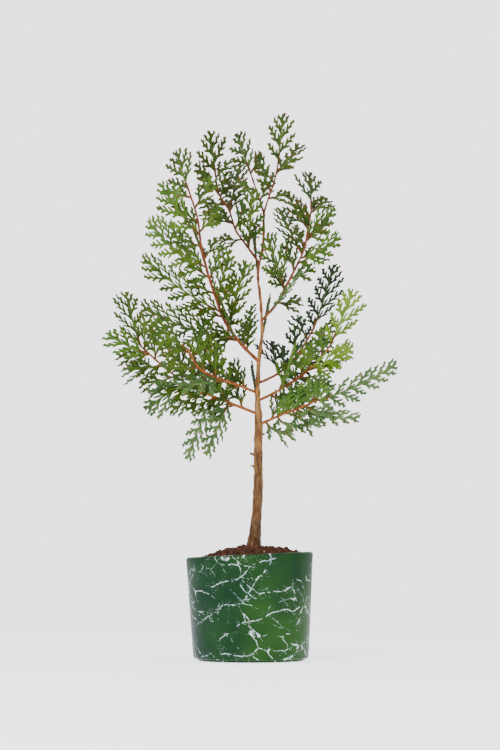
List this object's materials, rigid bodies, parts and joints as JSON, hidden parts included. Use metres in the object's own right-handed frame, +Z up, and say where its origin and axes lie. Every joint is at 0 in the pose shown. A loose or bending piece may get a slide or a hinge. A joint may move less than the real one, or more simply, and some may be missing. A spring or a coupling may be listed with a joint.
{
  "type": "oriental arborvitae bonsai",
  "caption": "Small oriental arborvitae grown as a bonsai, with flat feathery sprays on a slender trunk, in a round marbled green pot that stands on its flat underside.",
  "frame": {"origin": "centre of the pot's flat underside, at the height of the surface that it stands on", "axes": "+Z up along the trunk, +X to the right and +Y to the back as seen from the front"},
  "size_m": [0.1797, 0.1064, 0.3282],
  "materials": {
    "pot_glaze": "gloss",
    "soil": "matte",
    "trunk_bark": "matte",
    "bough_bark": "matte",
    "foliage": "satin"
  },
  "bodies": {
    "root": {"foliage_back_high": "foliage", "foliage_back_left": "foliage", "foliage_back_low": "foliage", "foliage_back_middle": "foliage", "foliage_fore_left": "foliage", "foliage_fore_right": "foliage", "foliage_inner_fan": "foliage", "foliage_inner_left": "foliage", "foliage_inner_left_low": "foliage", "foliage_inner_right": "foliage", "foliage_inner_top": "foliage", "foliage_left_cover": "foliage", "foliage_left_cover_out": "foliage", "foliage_left_cover_up": "foliage", "foliage_left_high": "foliage", "foliage_left_inside": "foliage", "foliage_left_inside_low": "foliage", "foliage_left_inside_mid": "foliage", "foliage_left_low": "foliage", "foliage_left_lowest": "foliage", "foliage_left_mid": "foliage", "foliage_left_skirt_down": "foliage", "foliage_left_skirt_inner": "foliage", "foliage_left_skirt_mid": "foliage", "foliage_left_skirt_near": "foliage", "foliage_left_skirt_out": "foliage", "foliage_left_skirt_tip": "foliage", "foliage_left_top": "foliage", "foliage_right_edge": "foliage", "foliage_right_fan": "foliage", "foliage_right_front_inner": "foliage", "foliage_right_front_outer": "foliage", "foliage_right_front_top": "foliage", "foliage_right_inner_high": "foliage", "foliage_right_inner_mid": "foliage", "foliage_right_outer_high": "foliage", "foliage_right_outer_low": "foliage", "foliage_right_rear_inner": "foliage", "foliage_right_rear_top": "foliage", "foliage_right_skirt_down": "foliage", "foliage_right_skirt_top": "foliage", "foliage_right_skirt_up": "foliage", "foliage_right_top": "foliage", "foliage_tip_inner_side": "foliage", "foliage_tip_left": "foliage", "foliage_tip_right": "foliage", "foliage_tip_right_side": "foliage", "inner_bough": "bough_bark", "left_bough": "bough_bark", "left_leader": "bough_bark", "low_left_long": "bough_bark", "low_left_upper": "bough_bark", "low_right_lowest": "bough_bark", "low_right_middle": "bough_bark", "low_right_upper": "bough_bark", "pot": "pot_glaze", "right_bough": "bough_bark", "right_leader": "bough_bark", "soil": "soil", "trunk": "trunk_bark"}
  },
  "joints": []
}
